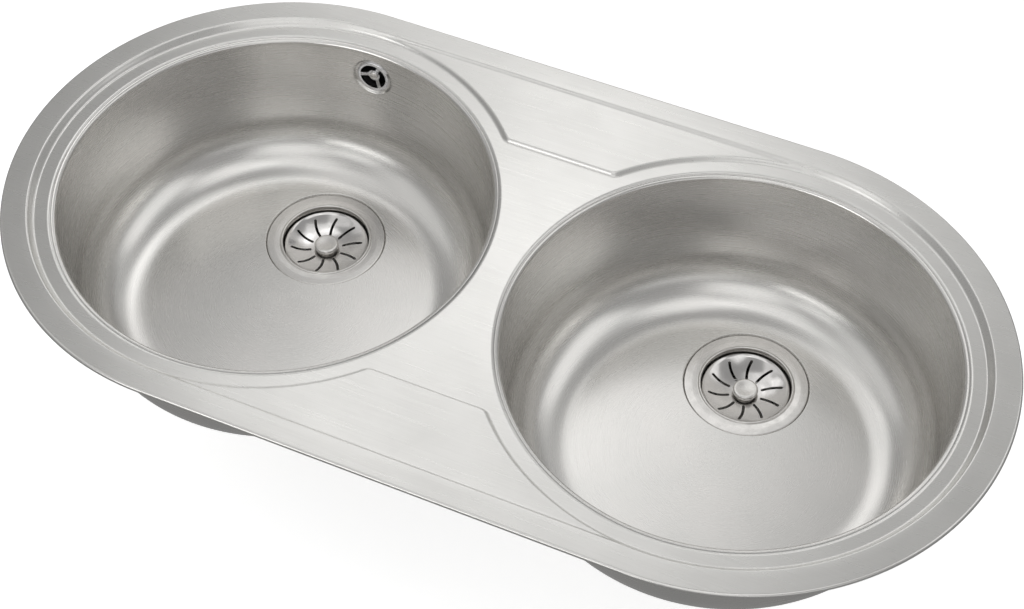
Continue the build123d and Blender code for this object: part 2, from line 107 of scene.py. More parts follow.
def spinProfile(bm, points, centre, turn=2 * pi, count=around, firstAngle=0.0):
    # a line of (radius, height) points turned about the upright axis through centre
    rim = Vector((cos(firstAngle), sin(firstAngle), 0))
    row = [bm.verts.new(centre + rim * radius + upright * height) for radius, height in points]
    edges = [bm.edges.new(pair) for pair in zip(row, row[1:])]
    full = abs(turn - 2 * pi) < 1e-6
    bmesh.ops.spin(bm, geom=row + edges, cent=centre, axis=upright, dvec=origin, angle=turn, steps=count,
                   use_merge=full, use_duplicate=False)


def repeatRound(bm, geom, count):  # copies are added until there are this many round the upright axis
    bmesh.ops.spin(bm, geom=geom, cent=origin, axis=upright, dvec=origin, angle=2 * pi * (count - 1) / count,
                   steps=count - 1, use_merge=False, use_duplicate=True)


def raiseFaces(bm, faces, shift):  # flat faces made into a solid
    made = bmesh.ops.extrude_face_region(bm, geom=faces)["geom"]
    bmesh.ops.translate(bm, vec=shift, verts=vertsOf(made))
    bmesh.ops.recalc_face_normals(bm, faces=bm.faces)


def roundCorners(bm, radius, segments):  # of the upright edges where the outline turns sharply
    tall = [e for e in bm.edges if abs(e.verts[0].co.z - e.verts[1].co.z) > 1]
    corners = [e for e in tall if e.calc_face_angle(0) > radians(50)]
    bmesh.ops.bevel(bm, geom=corners, offset=radius, segments=segments, profile=0.5, affect="EDGES",
                    material=-1)


def faceAt(radius, rise=0):  # picks the face nearest to this radius, and with rise the highest one there
    def nearness(face):
        middle = face.calc_center_median()
        return rise * middle.z - abs(hypot(middle.x, middle.y) - radius)
    return nearness


def faceTowards(bm, pick, direction):  # turns the whole mesh over if the picked face looks the other way
    bmesh.ops.recalc_face_normals(bm, faces=bm.faces)
    if max(bm.faces, key=pick).normal.dot(direction) < 0:
        bmesh.ops.reverse_faces(bm, faces=bm.faces)


def addPiece(name, bm, material, body, stands):
    bmesh.ops.scale(bm, vec=(0.001, 0.001, 0.001), verts=bm.verts)
    mesh = bpy.data.meshes.new(name)
    bm.to_mesh(mesh)
    bm.free()
    piece = bpy.data.objects.new(name, mesh)
    bpy.context.scene.collection.objects.link(piece)
    mesh.materials.append(material)
    mesh.shade_smooth()
    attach(piece, body)
    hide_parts(*stands)
    return piece


def addSheet(piece, thickness):  # the wall grows away from the side that the faces look to
    wall = piece.modifiers.new("sheet", "SOLIDIFY")
    wall.thickness = thickness / 1000
    wall.offset = -1
    wall.use_even_offset = True
    wall.use_quality_normals = True


def cutWith(piece, cutter):
    # takes the cutter's mesh out of the piece and leaves the result as the piece's own mesh
    tool = bpy.data.objects.new("cutter", bpy.data.meshes.new("cutter"))
    bpy.context.scene.collection.objects.link(tool)
    bmesh.ops.scale(cutter, vec=(0.001, 0.001, 0.001), verts=cutter.verts)
    cutter.to_mesh(tool.data)
    cutter.free()
    cut = piece.modifiers.new("cut", "BOOLEAN")
    cut.operation, cut.solver, cut.object = "DIFFERENCE", "EXACT", tool
    bpy.context.view_layer.update()
    graph = bpy.context.evaluated_depsgraph_get()
    mesh = bpy.data.meshes.new_from_object(piece.evaluated_get(graph), depsgraph=graph)
    piece.modifiers.clear()
    old = piece.data
    piece.data = mesh
    bpy.data.meshes.remove(old)
    bpy.data.objects.remove(tool)
    mesh.shade_smooth()
    mesh.set_sharp_from_angle(angle=radians(32))


# Places that the pieces share, taken from the solids

deckHigh = boxMm("deck_sheet")[1]
bowlLow, bowlHigh = boxMm("right_bowl")
flangeLow, flangeHigh = boxMm("right_strainer_flange")
seamRadius = (bowlHigh.x - bowlLow.x) / 2  # where the bowls meet the deck
bowlCentre = (bowlHigh.x + bowlLow.x) / 2
centreOf = {"left": -bowlCentre, "right": bowlCentre}


# Small helpers for materials

def paint(code):  # sRGB hex to the linear colour that the shader takes
    channels = [int(code[i:i + 2], 16) / 255 for i in (1, 3, 5)]
    return [c / 12.92 if c <= 0.04045 else ((c + 0.055) / 1.055) ** 2.4 for c in channels] + [1.0]


def perMetre(millimetres):  # how many pattern lengths of this size fit in a metre
    return 1000 / millimetres


def addNode(tree, kind, values={}, links={}, **settings):
    node = tree.nodes.new("ShaderNode" + kind)
    for name, value in settings.items():
        setattr(node, name, value)
    for name, value in values.items():
        node.inputs[name].default_value = value
    for name, source in links.items():
        tree.links.new(source, node.inputs[name])
    return node


def startMaterial(name, **values):
    material = bpy.data.materials.new(name)
    material.use_nodes = True
    tree = material.node_tree
    shader = tree.nodes["Principled BSDF"]
    for socket, value in values.items():
        shader.inputs[socket.replace("_", " ")].default_value = value
    return material, tree, shader


def rescale(tree, source, low, high, fromLow=0.3, fromHigh=0.7):  # noise keeps mostly between 0.3 and 0.7
    values = {"From Min": fromLow, "From Max": fromHigh, "To Min": low, "To Max": high}
    return addNode(tree, "MapRange", values, {"Value": source}).outputs["Result"]


def tint(tree, shader, factor, first, second):  # the base colour, between two paints
    firstIn, secondIn, colourOut = 6, 7, 2  # where this node keeps its colours
    colours = {firstIn: paint(first), secondIn: paint(second)}
    mix = addNode(tree, "Mix", colours, {0: factor}, data_type="RGBA")
    tree.links.new(mix.outputs[colourOut], shader.inputs["Base Color"])


def dull(tree, shader, factor, roughness):  # the roughness, between its two ends
    tree.links.new(rescale(tree, factor, *roughness), shader.inputs["Roughness"])


def addRelief(tree, shader, height, depth, strength):  # depth in millimetres
    bump = addNode(tree, "Bump", {"Distance": depth / 1000, "Strength": strength}, {"Height": height})
    tree.links.new(bump.outputs["Normal"], shader.inputs["Normal"])


# Materials, with their patterns' sizes in millimetres

brushing = {
    "satin": "#dcdbd8", "satinShade": "#d7d6d3", "roughness": (0.27, 0.30), "cloud": 45.0,
    "streak": (60.0, 0.9),  # real 180 grit scratches are near 0.1 mm wide: drawn coarser to show
    "depth": 0.004, "relief": 0.07,
}


def pressedSteel():
    # Stainless steel 1.4301, pressed cold and satin ground along its length:
    # a soft streaky sheen, grey and slightly warm
    material, tree, shader = startMaterial("satinGroundStainless", Metallic=1.0, Anisotropic=0.25)
    place = addNode(tree, "TexCoord").outputs["Object"]
    long, wide = brushing["streak"]
    stretched = addNode(tree, "Mapping", {"Scale": (perMetre(long), perMetre(wide), perMetre(wide))},
                        {"Vector": place}).outputs["Vector"]
    streaks = addNode(tree, "TexNoise", {"Scale": 1.0, "Detail": 3.0, "Roughness": 0.6},
                      {"Vector": stretched}).outputs["Fac"]
    clouds = addNode(tree, "TexNoise", {"Scale": perMetre(brushing["cloud"]), "Detail": 2.0},
                     {"Vector": place}).outputs["Fac"]
    both = addNode(tree, "Math", links={0: streaks, 1: clouds}, operation="MULTIPLY").outputs[0]
    tone = rescale(tree, both, 0, 1, fromLow=0.15, fromHigh=0.35)
    tint(tree, shader, tone, brushing["satin"], brushing["satinShade"])
    dull(tree, shader, streaks, brushing["roughness"])
    addRelief(tree, shader, streaks, brushing["depth"], brushing["relief"])
    return material


drawing = {
    "satin": "#dbd9d6", "satinShade": "#d5d4d1", "roughness": (0.25, 0.28), "cloud": 60.0,
    "streak": (70.0, 1.0),  # around the bowl, drawn coarser than the real polishing lines
    "round": 170.0,  # the radius that turns an angle into a length along the wall
    "depth": 0.004, "relief": 0.015,
}


def drawnSteel(name, centreX):
    # Stainless steel 1.4301, deep drawn and polished on a turntable: fine lines run round the bowl's own axis
    material, tree, shader = startMaterial(name, Metallic=1.0, Anisotropic=0.2)
    place = addNode(tree, "TexCoord").outputs["Object"]
    centred = addNode(tree, "Mapping", {"Location": (-centreX / 1000, 0, 0)}, {"Vector": place})
    split = addNode(tree, "SeparateXYZ", links={"Vector": centred.outputs["Vector"]}).outputs
    angle = addNode(tree, "Math", links={0: split["Y"], 1: split["X"]}, operation="ARCTAN2").outputs[0]
    flat = addNode(tree, "CombineXYZ", links={"X": split["X"], "Y": split["Y"]}).outputs["Vector"]
    radius = addNode(tree, "VectorMath", links={0: flat}, operation="LENGTH").outputs["Value"]
    turned = addNode(tree, "CombineXYZ", links={"X": angle, "Y": radius, "Z": split["Z"]}).outputs["Vector"]
    long, fine = drawing["streak"]
    stretched = addNode(tree, "Mapping", {"Scale": (drawing["round"] / long, perMetre(fine), perMetre(fine))},
                        {"Vector": turned}).outputs["Vector"]
    lines = addNode(tree, "TexNoise", {"Scale": 1.0, "Detail": 3.0, "Roughness": 0.6},
                    {"Vector": stretched}).outputs["Fac"]
    clouds = addNode(tree, "TexNoise", {"Scale": perMetre(drawing["cloud"]), "Detail": 2.0},
                     {"Vector": place}).outputs["Fac"]
    tint(tree, shader, rescale(tree, clouds, 0, 1), drawing["satin"], drawing["satinShade"])
    dull(tree, shader, lines, drawing["roughness"])
    addRelief(tree, shader, lines, drawing["depth"], drawing["relief"])
    return material


wiping = {"depth": 0.01, "relief": 0.1}


def brightMetal(name, colour, shade, roughness, smudge):
    # A polished or plated face: mirror-like, with faint wiping marks that show in its gloss more than
    # in its colour
    material, tree, shader = startMaterial(name, Metallic=1.0)
    place = addNode(tree, "TexCoord").outputs["Object"]
    marks = addNode(tree, "TexNoise", {"Scale": perMetre(smudge), "Detail": 4.0, "Distortion": 0.6},
                    {"Vector": place}).outputs["Fac"]
    dull(tree, shader, marks, roughness)
    tint(tree, shader, rescale(tree, marks, 0, 1), colour, shade)
    addRelief(tree, shader, marks, wiping["depth"], wiping["relief"])
    return material


moulding = {"flow": 25.0, "relief": 0.5}


def moulded(name, colour, shade, roughness, ior, grain, depth):
    # Moulded plastic or rubber: the mould's spark-eroded skin gives it a fine even grain and a soft sheen
    material, tree, shader = startMaterial(name, IOR=ior)
    place = addNode(tree, "TexCoord").outputs["Object"]
    skin = addNode(tree, "TexNoise", {"Scale": perMetre(grain), "Detail": 3.0},
                   {"Vector": place}).outputs["Fac"]
    flow = addNode(tree, "TexNoise", {"Scale": perMetre(moulding["flow"]), "Detail": 2.0},
                   {"Vector": place}).outputs["Fac"]
    dull(tree, shader, flow, roughness)
    tint(tree, shader, rescale(tree, flow, 0, 1), colour, shade)
    addRelief(tree, shader, skin, depth, moulding["relief"])
    return material


satinDeck = pressedSteel()
satinLeft = drawnSteel("polishedDrawnStainlessLeft", centreOf["left"])
satinRight = drawnSteel("polishedDrawnStainlessRight", centreOf["right"])
# Stainless steel, pressed and polished: a bright face with slightly soft reflections
brightSteel = brightMetal("brightPressedStainless", "#d9d7d4", "#d2d0cd", (0.17, 0.24), 9.0)
# Stainless steel, punched and polished finer: the sieve reflects the bowl with deeper darks
sieveSteel = brightMetal("polishedSieveStainless", "#d6d4d2", "#cccac8", (0.13, 0.18), 9.0)
# Chromium plate over a polished face: the sharpest reflections on the sink, slightly cool
chrome = brightMetal("chromePlate", "#dcdcde", "#d2d2d5", (0.05, 0.1), 7.0)
# Zinc plate on steel: a soft grey shine
zinc = brightMetal("zincPlate", "#b9bcbf", "#a5a8aa", (0.3, 0.45), 4.0)
# Polypropylene, injection moulded, natural white: waxy and slightly warm
polypropylene = moulded("mouldedPolypropylene", "#ecebe6", "#e3e2dc", (0.38, 0.5), 1.49, 0.6, 0.02)
# The same plastic coloured through: near black, with the same waxy sheen
darkPolypropylene = moulded("mouldedDarkPolypropylene", "#232325", "#2b2b2d", (0.4, 0.55), 1.49, 0.6, 0.02)
# Rubber, pressed in a mould: black and almost matt
rubber = moulded("mouldedRubber", "#1b1b1c", "#232324", (0.6, 0.75), 1.52, 0.5, 0.03)
# Closed-cell foam, cut from a strip: matt, with its cells showing as a coarse grain
foam = moulded("closedCellFoam", "#2a2a2c", "#353537", (0.85, 0.95), 1.45, 0.8, 0.2)

finishes = {
    "pressed_steel": satinDeck, "polished_steel": brightSteel, "chrome_cover": chrome, "zinc_steel": zinc,
    "white_plastic": polypropylene, "dark_plastic": darkPolypropylene, "black_rubber": rubber,
    "foam_seal": foam,
}
print("materials made:", len(bpy.data.materials))


# The pressed deck

deck = {
    "halfWidth": deckHigh.y, "endCentre": deckHigh.x - deckHigh.y,
    "rimTop": deckHigh.z, "ringLevel": deckHigh.z - 6.0, "panelLevel": deckHigh.z - 2.6,
    "ringRadius": seamRadius + 13.7, "bridgeHalf": 127.5, "bridgeReach": 98.0, "rimBand": 21.5,
    "slope": 0.62,  # run of a pressed step for each unit of its height
    "bend": 1.6, "cornerBend": 3.0,  # softness of a pressed step, and of the corner between ring and bridge
    "edgeRound": 2.4, "edgeFoot": 0.3, "sheet": 0.8,
}
deckMesh = {
    "step": (-1.9, 0.6, 13), "bridge": (-2.4, 0.5, 14),  # lines across a step: first offset, spacing, number
    "flat": (3.0, 7.0), "beforeStep": 3.4, "rim": (206.0, 212.0), "edgeSteps": 8,
    "beyond": 1.5, "cutsFrom": 1.0, "cutsClear": 5.0, "weld": 0.01,
}


def deckInset(x, y):  # how far inside the deck's outline
    return deck["halfWidth"] - hypot(max(abs(x) - deck["endCentre"], 0), y)


def deckHeight(x, y):
    x, inset = abs(x), deckInset(x, y)
    toRing = hypot(x - deck["endCentre"], y) - deck["ringRadius"]
    toBridge = max(abs(y) - deck["bridgeHalf"], x - deck["bridgeReach"])
    rise = smoothMin(toRing, toBridge, deck["cornerBend"])
    well = smoothMax(deck["ringLevel"], deck["ringLevel"] + rise / deck["slope"], deck["bend"])
    step = deck["rimTop"] - (inset - deck["rimBand"]) / deck["slope"]
    panel = smoothMax(deck["panelLevel"], smoothMin(deck["rimTop"], step, deck["bend"]), deck["bend"])
    height = smoothMin(well, panel, deck["bend"])
    if inset < deck["edgeRound"]:
        fall = deck["edgeRound"] - inset
        height -= deck["edgeRound"] - sqrt(max(deck["edgeRound"] ** 2 - fall ** 2, 0))
    return height


def cutAcross(bm, level):  # an edge line across the middle of the deck at this y, clear of the left ring
    near = deck["ringRadius"] - deckMesh["cutsClear"]
    faces = [f for f in bm.faces if all(hypot(v.co.x + deck["endCentre"], v.co.y) > near for v in f.verts)]
    cutAt(bm, withEdges(faces), (0, level, 0), (0, 1, 0))


def buildDeck():
    half, edge, ring = deck["halfWidth"], deck["edgeRound"], deck["ringRadius"]
    # radii on the ring's flat, over the pressed step round it, and at the rim with its rounded edge
    inner = [seamRadius] + [seamRadius + offset for offset in deckMesh["flat"]]
    across = [ring - deckMesh["beforeStep"]] + [ring + offset for offset in rows(*deckMesh["step"])]
    turns = deckMesh["edgeSteps"]
    margin = list(deckMesh["rim"]) + [half - edge * cos(pi / 2 * k / turns) for k in range(turns + 1)]
    centre = Vector((-deck["endCentre"], 0, 0))
    bm = bmesh.new()
    # the middle first: long faces that reach past the deck, cut along its straight lines
    beyond = half * deckMesh["beyond"]
    spinProfile(bm, [(r, 0) for r in inner + across + [beyond]], centre, pi, around // 2, -pi / 2)
    for sign in (1, -1):
        for level in [r for r in across if r > ring + deckMesh["cutsFrom"]] + margin[:-1]:
            cutAcross(bm, sign * level)
        for offset in rows(*deckMesh["bridge"]):
            cutAcross(bm, sign * (deck["bridgeHalf"] + offset))
    cutAt(bm, allOf(bm), origin, (1, 0, 0), clear=True)
    for sign in (1, -1):
        cutAt(bm, allOf(bm), (0, sign * half, 0), (0, sign, 0), clear=True)
    # then the round end, and the other half of the deck
    spinProfile(bm, [(r, 0) for r in inner + across + margin], centre, pi, around // 2, pi / 2)
    weld(bm, deckMesh["weld"])
    bmesh.ops.mirror(bm, geom=allOf(bm), matrix=Matrix.Identity(4), merge_dist=deckMesh["weld"], axis="X")
    weld(bm, deckMesh["weld"])
    outline = []
    for line in bm.edges:
        middle = (line.verts[0].co + line.verts[1].co) / 2
        if line.is_boundary and deckInset(middle.x, middle.y) < 1:
            outline.append(line)
    for v in bm.verts:
        v.co.z = deckHeight(v.co.x, v.co.y)
    for v in vertsOf(bmesh.ops.extrude_edge_only(bm, edges=outline)["geom"]):  # the edge is folded down
        v.co.z = deck["edgeFoot"]
    faceTowards(bm, lambda f: f.calc_center_median().z, upright)
    piece = addPiece("deckPressing", bm, satinDeck, "sink", ["deck_sheet"])
    addSheet(piece, deck["sheet"])


buildDeck()
print("deck pressed")


# The two drawn bowls

bowl = {
    "lip": 4.0, "taper": radians(4.0), "floor": -134.0, "corner": 50.0, "sheet": 0.8,
    "drainY": (flangeLow.y + flangeHigh.y) / 2, "hole": 45.0,
    "seat": 51.65, "recess": 3.0, "recessSlope": 0.35,  # the waste's recess: foot, depth, run of its slope
    "recessFoot": 1.0, "recessBend": 1.2,  # softness of its two bends
    "lipSteps": 10, "wallSteps": 24, "cornerSteps": 18, "floorSteps": 22,
    "cornerShare": 0.6372,  # of the corner's turn: the rest of it belongs to the floor, round the waste
    "recessRim": 62.0, "recessRings": [59, 57, 55.5] + steps(54.9, 51.6, 15) + [50, 47.5],
}
overflow = {
    "depth": -31.0, "dimple": 17.5, "sunk": 1.6, "shoulder": 0.9, "hole": 12.6,
    "finer": 5.0, "cuts": 4, "clear": 3.0,  # the mesh is made finer this far round the dimple
}


def bowlProfile():
    # the inner face from the seam over the lip, down the wall and round the corner, as (radius, height)
    lip, taper, corner = bowl["lip"], bowl["taper"], bowl["corner"]
    top = deck["ringLevel"]
    points = []
    for k in range(bowl["lipSteps"] + 1):
        turn = (pi / 2 - taper) * k / bowl["lipSteps"]
        points.append((seamRadius - lip * sin(turn), top - lip + lip * cos(turn)))
    cornerZ = bowl["floor"] + corner
    wallEnd = cornerZ - corner * sin(taper)
    radius, height = points[-1]
    wallRadius = radius - (height - wallEnd) * tan(taper)
    for part in steps(0, 1, bowl["wallSteps"]):
        points.append((radius + (wallRadius - radius) * part, height + (wallEnd - height) * part))
    cornerX = wallRadius - corner * cos(taper)
    for part in steps(0, bowl["cornerShare"], bowl["cornerSteps"]):
        turn = taper + (pi / 2 - taper) * part
        points.append((cornerX + corner * cos(turn), cornerZ - corner * sin(turn)))
    return points, cornerX, cornerZ


def floorHeight(x, y, cornerX, cornerZ):  # the floor and its corner, with the waste's recess sunk in them
    radius = hypot(x, y)
    base = bowl["floor"]
    if radius > cornerX:
        base = cornerZ - sqrt(max(bowl["corner"] ** 2 - (radius - cornerX) ** 2, 0))
    toSeat = hypot(x, y - bowl["drainY"]) - bowl["seat"]
    seat = bowl["floor"] - bowl["recess"]
    recess = smoothMax(seat, seat + toSeat / bowl["recessSlope"], bowl["recessFoot"])
    return smoothMin(base, recess, bowl["recessBend"])


def drawLoop(bm, loop, fromCentre, toCentre, radius, heightAt):
    # the next ring of the bowl: the last one extruded and moved to its new circle
    made = bmesh.ops.extrude_edge_only(bm, edges=loop)["geom"]
    for v in vertsOf(made):
        angle = atan2(v.co.y - fromCentre, v.co.x)
        v.co.x, v.co.y = radius * cos(angle), toCentre + radius * sin(angle)
        v.co.z = heightAt(v.co.x, v.co.y)
    return [e for e in made if isinstance(e, bmesh.types.BMEdge)]


def dimpleAxis():
    # middle of the overflow on the back wall, then the directions square to the wall into the bowl and up it
    taper = bowl["taper"]
    lipX = seamRadius - bowl["lip"] * cos(taper)
    lipZ = deck["ringLevel"] - bowl["lip"] + bowl["lip"] * sin(taper)
    middle = Vector((0, lipX - (lipZ - overflow["depth"]) * tan(taper), overflow["depth"]))
    return middle, Vector((0, -cos(taper), sin(taper))), Vector((0, sin(taper), cos(taper)))


def pressDimple(bm):
    middle, inward, upward = dimpleAxis()
    dimple, shoulder = overflow["dimple"], overflow["shoulder"]
    reach = dimple + overflow["finer"]
    near = [f for f in bm.faces if (f.calc_center_median() - middle).length < reach]
    edges = list({e for f in near for e in f.edges})
    bmesh.ops.subdivide_edges(bm, edges=edges, cuts=overflow["cuts"], use_grid_fill=True)
    for v in bm.verts:
        offset = v.co - middle
        away = hypot(offset.x, offset.dot(upward))
        if away < dimple + overflow["clear"] and offset.length < 2 * reach:
            share = min(max((dimple + shoulder - away) / (2 * shoulder), 0), 1)
            share = share * share * (3 - 2 * share)
            v.co += inward * ((-overflow["sunk"] - offset.dot(inward)) * share)
    gone = [f for f in bm.faces if (f.calc_center_median() - middle).length < overflow["hole"]]
    bmesh.ops.delete(bm, geom=gone, context="FACES")


def buildBowl(side, material):
    profile, cornerX, cornerZ = bowlProfile()

    def floorAt(x, y):
        return floorHeight(x, y, cornerX, cornerZ)

    bm = bmesh.new()
    bmesh.ops.create_circle(bm, cap_ends=False, segments=around, radius=seamRadius)
    loop = bm.edges[:]
    bmesh.ops.translate(bm, vec=(0, 0, profile[0][1]), verts=bm.verts)
    for radius, height in profile[1:]:
        loop = drawLoop(bm, loop, 0, 0, radius, lambda x, y: height)
    wallFoot, centre = profile[-1][0], 0.0
    for part in steps(0, 1, bowl["floorSteps"]):  # over the floor, from the bowl's circle to the waste's
        nextCentre = bowl["drainY"] * part
        radius = wallFoot + (bowl["recessRim"] - wallFoot) * part
        loop = drawLoop(bm, loop, centre, nextCentre, radius, floorAt)
        centre = nextCentre
    for radius in bowl["recessRings"] + [bowl["hole"]]:
        loop = drawLoop(bm, loop, centre, centre, radius, floorAt)
    if side == "left":
        pressDimple(bm)
    faceTowards(bm, lambda f: -f.calc_center_median().z, upright)
    bmesh.ops.translate(bm, vec=(centreOf[side], 0, 0), verts=bm.verts)
    piece = addPiece(side + "BowlShell", bm, material, "sink", [side + "_bowl"])
    addSheet(piece, bowl["sheet"])


buildBowl("left", satinLeft)
buildBowl("right", satinRight)
print("bowls drawn")


# The small parts have the solids' own shapes, with their sharp edges softened

softening = {"weld": 0.003, "flat": radians(0.4), "sharp": radians(38), "segments": 2}
edgeSoftness = {  # millimetres, by the finish
    "polished_steel": 0.18, "chrome_cover": 0.2, "zinc_steel": 0.2, "white_plastic": 0.5, "dark_plastic": 0.5,
    "black_rubber": 0.25, "foam_seal": 0.4,
}
slotOf = {part["node"]: part["material_slot"] for part in frame["record"]["subparts"]}
bodyOf = {node: body for body, members in frame["record"]["behaviour"]["bodies"].items() for node in members}


def pieceName(node):  # left_basket_knob becomes leftBasketKnob
    first, *rest = node.split("_")
    return first + "".join(word.capitalize() for word in rest)


def soften(node):
    bm = bmesh.new()
    bm.from_mesh(frame["nodes"][node].data)
    bmesh.ops.scale(bm, vec=(1000, 1000, 1000), verts=bm.verts)
    weld(bm, softening["weld"])
    bmesh.ops.dissolve_limit(bm, angle_limit=softening["flat"], use_dissolve_boundaries=False,
                             verts=bm.verts, edges=bm.edges, delimit=set())
    slotName = slotOf[node]
    piece = addPiece(pieceName(node), bm, finishes[slotName], bodyOf[node], [node])
    rounding = piece.modifiers.new("edges", "BEVEL")
    rounding.width = edgeSoftness[slotName] / 1000
    rounding.segments = softening["segments"]
    rounding.limit_method = "ANGLE"
    rounding.angle_limit = softening["sharp"]
    rounding.harden_normals = True


# The wastes' bright parts: flange, sieve and knob

waste = {
    "radius": 51.8, "face": -135.2, "sheet": 0.8, "edge": 0.75,  # the flange's edge turns down on the seat
    "faceRings": (50.4, 48.0), "slopeStart": 45.3, "slopeBend": 0.5, "slopeDip": 0.02, "slopeFall": 0.4,
    "bead": 1.1, "beadFoot": ((0.8, 0.06), (0.25, 0.03)),  # how far out and up the slope meets the bead
    "cup": 37.8, "cupFloor": -177.2, "cupCorner": 4.0, "cupRings": (0.4, 4.0), "cupStraight": 6.0,
    "drains": 6, "drainRadius": 5.0, "drainRing": 17.5, "screwHole": 3.3, "holeAround": 32, "around": 144,
}
sieve = {
    "edge": 36.8, "edgeZ": -140.2, "bend": 1.2, "bendTurn": 80, "skirt": 5.0, "skirtRing": 0.6,
    "dish": 6.6, "dishSteps": 26, "neck": 7.6, "neckRing": 0.5, "hole": 3.3, "sheet": 0.8, "around": 160,
}
slots = {
    "count": 10, "width": 2.4, "outer": 31.5, "inner": 13.5, "start": radians(27.0), "lean": radians(5.0),
    "bend": 30.0, "steps": 14, "below": 6.0, "above": 3.0, "endRound": 0.96, "roundSteps": 5,
}
knob = {
    "radius": 10.5, "cap": 3.4, "rise": 6.2, "round": 1.6, "lowRound": 0.5, "pin": 3.0, "pinLength": 12.0,
    "hollow": 0.35, "hollowShape": ((0, 1), (2.5, 0.93), (5, 0.6), (7, 0.2)),  # radius, share of the hollow
    "gap": 0.02, "topRing": 0.3, "lowRing": 0.1, "footRing": 0.3, "around": 96,
}


def drainPlace(side):
    return Vector((centreOf[side], bowl["drainY"], 0))


def buildFlange(side):
    face, cup, bead, corner, edge = [waste[key] for key in ("face", "cup", "bead", "cupCorner", "edge")]
    start, bend, cupFloor = waste["slopeStart"], waste["slopeBend"], waste["cupFloor"]
    beadZ = face - waste["slopeFall"]
    points = arc(waste["radius"] - edge, face - edge, edge, 0, 90, 6)
    points += [(radius, face) for radius in waste["faceRings"]]
    points += [(start + bend, face), (start - bend, face - waste["slopeDip"])]
    points += [(cup + 2 * bead + out, beadZ + rise) for out, rise in waste["beadFoot"]]
    points += arc(cup + bead, beadZ, bead, 15, 180, 12)
    points += [(cup, beadZ - drop) for drop in waste["cupRings"]]
    points += [(cup, cupFloor + corner + waste["cupStraight"])]
    points += arc(cup - corner, cupFloor + corner, corner, 0, -90, 8)
    bm = bmesh.new()
    spinProfile(bm, points, origin, count=waste["around"])
    weld(bm, 0.005)
    floorEdges = [e for e in bm.edges if e.is_boundary and e.verts[0].co.z < cupFloor + 1]
    holes = []
    for k in range(waste["drains"]):
        turn = 2 * pi * k / waste["drains"]
        holes.append((waste["drainRing"] * cos(turn), waste["drainRing"] * sin(turn), waste["drainRadius"]))
    for x, y, radius in holes + [(0, 0, waste["screwHole"])]:
        where = Matrix.Translation((x, y, cupFloor))
        made = bmesh.ops.create_circle(bm, segments=waste["holeAround"], radius=radius, matrix=where)["verts"]
        floorEdges += list({e for v in made for e in v.link_edges})
    bmesh.ops.triangle_fill(bm, edges=floorEdges, use_beauty=True, normal=upright)
    faceTowards(bm, faceAt(waste["faceRings"][-1], rise=1), upright)
    bmesh.ops.translate(bm, vec=drainPlace(side), verts=bm.verts)
    node = side + "_strainer_flange"
    piece = addPiece(side + "StrainerFlange", bm, brightSteel, "sink", [node])
    addSheet(piece, waste["sheet"])


def sieveHeight(radius):  # a shallow dish, deepest at the neck
    fall = (sieve["edge"] - radius) / (sieve["edge"] - sieve["neck"])
    return sieve["edgeZ"] - sieve["dish"] * (1 - (1 - fall) ** 2)


def slotCutters():
    # one slot, a short line swept along a bent path, raised, rounded at its ends and repeated round the axis
    bm = bmesh.new()
    low, lean, half = sieve["edgeZ"] - sieve["dish"] - slots["below"], slots["lean"], slots["width"] / 2
    start = Vector((slots["outer"], 0, low))
    end = Vector((slots["inner"] * cos(lean), slots["inner"] * sin(lean), low))
    chord, bend = (end - start).length, slots["bend"]
    aside = upright.cross(end - start).normalized()
    centre = (start + end) / 2 + aside * sqrt(bend ** 2 - chord ** 2 / 4)
    across = (start - centre).normalized() * half
    line = [bm.verts.new(start - across), bm.verts.new(start + across)]
    turn = 2 * asin(chord / 2 / bend)
    bmesh.ops.spin(bm, geom=line + [bm.edges.new(line)], cent=centre, axis=upright, dvec=origin, angle=turn,
                   steps=slots["steps"], use_merge=False, use_duplicate=False)
    raiseFaces(bm, bm.faces[:], (0, 0, sieve["dish"] + slots["below"] + slots["above"]))
    roundCorners(bm, half * slots["endRound"], slots["roundSteps"])
    bmesh.ops.rotate(bm, cent=origin, matrix=Matrix.Rotation(slots["start"], 3, "Z"), verts=bm.verts)
    repeatRound(bm, allOf(bm), slots["count"])
    return bm


def buildSieve(side):
    edge, bend, top, neck = sieve["edge"], sieve["bend"], sieve["edgeZ"], sieve["neck"]
    points = [(edge, top - sieve["skirt"]), (edge, top - bend - sieve["skirtRing"])]
    points += arc(edge - bend, top - bend, bend, 0, sieve["bendTurn"], 6)
    points += [(radius, sieveHeight(radius)) for radius in steps(edge - bend, neck, sieve["dishSteps"])]
    points += [(neck - sieve["neckRing"], sieveHeight(neck)), (sieve["hole"], sieveHeight(neck))]
    bm = bmesh.new()
    spinProfile(bm, points, origin, count=sieve["around"])
    weld(bm)
    faceTowards(bm, faceAt((slots["outer"] + slots["inner"]) / 2), upright)
    bmesh.ops.translate(bm, vec=drainPlace(side), verts=bm.verts)
    node = side + "_basket_sieve"
    piece = addPiece(side + "BasketSieve", bm, sieveSteel, side + "_basket", [node])
    addSheet(piece, sieve["sheet"])
    cutter = slotCutters()
    bmesh.ops.translate(cutter, vec=drainPlace(side), verts=cutter.verts)
    cutWith(piece, cutter)


